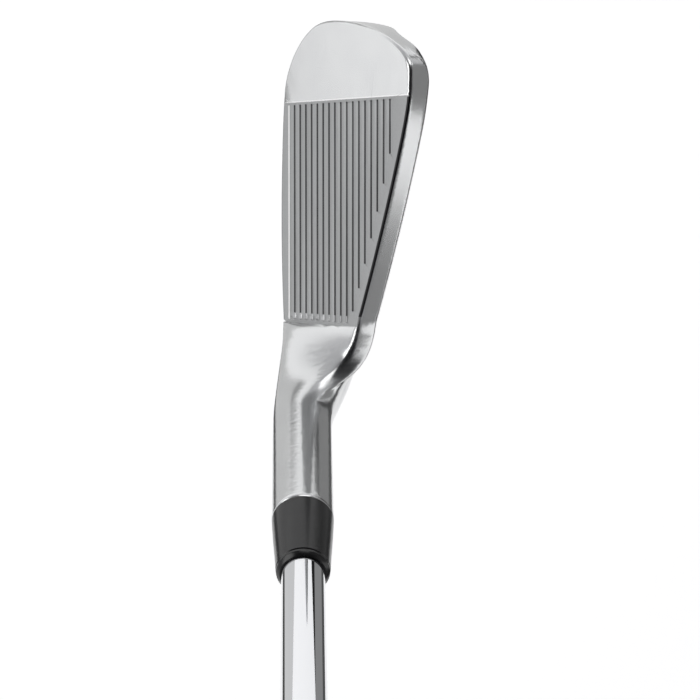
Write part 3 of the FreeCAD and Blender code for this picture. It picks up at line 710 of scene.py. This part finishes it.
WHITE, PALE, GREY, DARK, BLACK = "f0f0f0", "d4d4d4", "8a8a8a", "505050", "141414"
for name, start, end, code in (
    ("dark_card_left", -90, -74, DARK),
    ("pale_card_left", -74, -28, PALE),
    ("grey_card_left", -28, -13, GREY),
    ("white_card", -13, 8, WHITE),
    ("pale_card_right", 8, 29, PALE),
    ("black_card_right", 29, 40, BLACK),
    ("grey_card_right", 40, 72, GREY),
    ("dark_card_right", 72, 90, DARK),
):
    only_for_mirrors(fan_card(name, start, end, code))

# %% [markdown]
# ## Cards behind the topline
# The topline and the back of the neck look sideways, past the fan. A dark strip
# far out on the table and two upright cards give them something to mirror: a
# wide grey one, and a narrow pale one just in front of it.

# %% Cards behind the topline
UPRIGHT = (math.pi / 2, 0, 0)
CARD_HEIGHT = 0.34
only_for_mirrors(flat_card("dark_strip", (0, 1.45, FLOOR + mm(12)), (3.4, 1.6), DARK, 0.1))
for name, across, behind_club, width, code in (
    ("grey_side", 0.1, 0.3, 0.7, "666666"),
    ("pale_side", 0.14, 0.295, 0.09, PALE),
):
    centre = (across, behind_club, CARD_HEIGHT / 2)
    only_for_mirrors(flat_card(name, centre, (width, CARD_HEIGHT), code, 1.0, UPRIGHT))

# %% [markdown]
# ## Lights
# Three broad area lights stand in for soft boxes. The large one on the target's
# side does most of the work, and the other two only lift the shadows.

# %% Lights
def soft_light(name, place, size, power):
    """A broad area light that points at the club head."""
    data = bpy.data.lights.new(name, "AREA")
    data.shape = "RECTANGLE"
    data.size, data.size_y = size
    data.energy = power
    lamp = bpy.data.objects.new(name, data)
    lamp.location = place
    lamp.rotation_euler = (-Vector(place)).to_track_quat("-Z", "Y").to_euler()
    bpy.context.scene.collection.objects.link(lamp)
    print(name, "gives", power, "watts")


soft_light("soft_left", (-0.3, -2.2, 1.6), (2.4, 1.6), 26)
soft_light("soft_right", (-1.3, 2.1, 1.1), (1.6, 1.0), 4)
soft_light("soft_toe", (-2.2, 0.3, 1.6), (1.6, 1.6), 12)

# %% [markdown]
# ## Room
# The room goes from pale at eye level to dark overhead, so the metal that looks
# up has something to mirror. The standard view keeps the colours as they are.

# %% Room
world = bpy.data.worlds.new("studio")
world.use_nodes = True
bpy.context.scene.world = world
tree = world.node_tree
tree.nodes.clear()
way = add(tree, "TexCoord").outputs["Generated"]
height = add(tree, "SeparateXYZ", Vector=way).outputs["Z"]
ramp = add(tree, "ValToRGB", Fac=height)
stops = ramp.color_ramp.elements
for share, code in ((0.0, "c8c8ca"), (0.3, "b4b4b6"), (0.6, "808082"), (0.82, "2c2c2e")):
    stops.new(share).color = colour(code)
stops.remove(stops[0])
stops[-1].color = colour("141415")
sky = add(tree, "Background", Color=ramp.outputs["Color"])
add(tree, "OutputWorld", Surface=sky.outputs[0])
bpy.context.scene.view_settings.view_transform = "Standard"
print("room tones:", len(stops))

# %% [markdown]
# ## Camera
# The camera stands where the golfer's eye is: straight above the head and
# looking down, so the leading edge is on the left and the shaft comes toward
# the viewer at the bottom.

# %% Camera
EYE_PLACE = (-1.47, -1.75, 563.1)
EYE_TURN = (-3.603, -1.371, 90.017)
camera_data = bpy.data.cameras.new("golfer_view")
camera_data.lens = 119.45
camera_data.sensor_width = 36
camera = bpy.data.objects.new("golfer_view", camera_data)
bpy.context.scene.collection.objects.link(camera)
camera.location = [mm(along) for along in EYE_PLACE]
camera.rotation_euler = [math.radians(turn) for turn in EYE_TURN]
camera_data.clip_start = 0.01
bpy.context.scene.camera = camera
print("camera is", round(camera.location.z, 3), "metres up")
